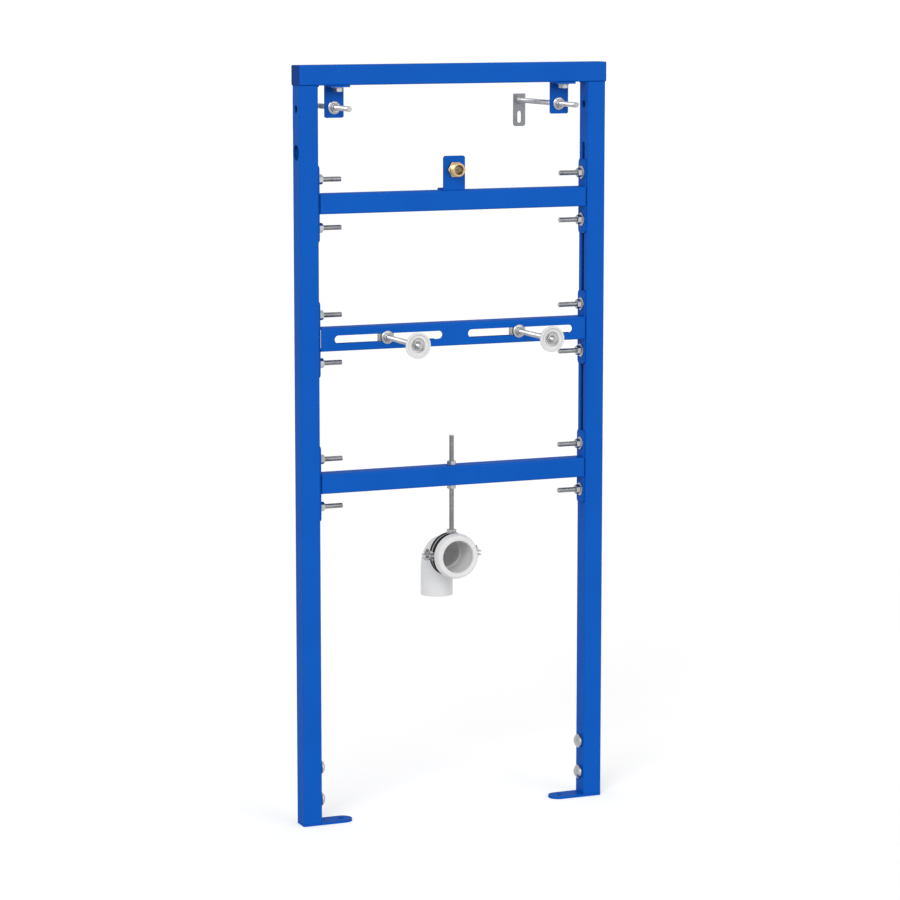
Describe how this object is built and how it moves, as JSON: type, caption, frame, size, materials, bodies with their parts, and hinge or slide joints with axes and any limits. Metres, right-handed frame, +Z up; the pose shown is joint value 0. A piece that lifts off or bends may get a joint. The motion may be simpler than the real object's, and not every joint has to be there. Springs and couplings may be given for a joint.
{
  "type": "urinal installation frame",
  "caption": "Blue steel floor-to-wall frame for a wall-hung urinal, with crossbars, fixing studs, water inlet, clamped drain bend, wall ties and bolted feet.",
  "frame": {"origin": "middle of the left foot's sole, on the floor", "axes": "+X along the frame from the left post to the right, +Y from the front to the wall, +Z up"},
  "size_m": [0.502, 0.307, 1.15],
  "materials": {
    "frame_blue": "satin blue powder coat",
    "cap_blue": "satin dark blue moulded plastic",
    "zinc_steel": "bright zinc-plated steel",
    "brass": "turned brass",
    "white_plastic": "semi-gloss white moulded plastic",
    "black_rubber": "matte black rubber"
  },
  "bodies": {
    "root": {"left_post": "frame_blue", "right_post": "frame_blue", "top_rail": "frame_blue", "left_end_cap": "cap_blue", "right_end_cap": "cap_blue", "left_foot": "frame_blue", "right_foot": "frame_blue", "foot_bolts": "zinc_steel", "upper_crossbar": "frame_blue", "slotted_crossbar": "frame_blue", "lower_crossbar": "frame_blue", "upper_clamp_plates": "frame_blue", "middle_clamp_plates": "frame_blue", "lower_clamp_plates": "frame_blue", "upper_studs": "zinc_steel", "middle_studs": "zinc_steel", "lower_studs": "zinc_steel", "upper_stud_nuts": "zinc_steel", "middle_stud_nuts": "zinc_steel", "lower_stud_nuts": "zinc_steel", "water_bracket": "frame_blue", "water_inlet": "brass", "water_inlet_nut": "brass", "left_top_bracket": "frame_blue", "right_top_bracket": "frame_blue", "bracket_bolts": "zinc_steel", "left_wall_rod": "zinc_steel", "right_wall_rod": "zinc_steel", "wall_rod_nuts": "zinc_steel", "left_wall_plate": "zinc_steel", "right_wall_plate": "zinc_steel", "left_fixing_stud": "zinc_steel", "right_fixing_stud": "zinc_steel", "fixing_flange_nuts": "zinc_steel", "channel_nut_blocks": "zinc_steel", "left_fixing_cup": "white_plastic", "right_fixing_cup": "white_plastic", "cup_nuts": "zinc_steel", "drain_rod": "zinc_steel", "drain_rod_nuts": "zinc_steel", "clamp_upper_half": "zinc_steel", "clamp_lower_half": "zinc_steel", "clamp_lining": "black_rubber", "clamp_screws": "zinc_steel", "drain_bend": "white_plastic"}
  },
  "joints": []
}
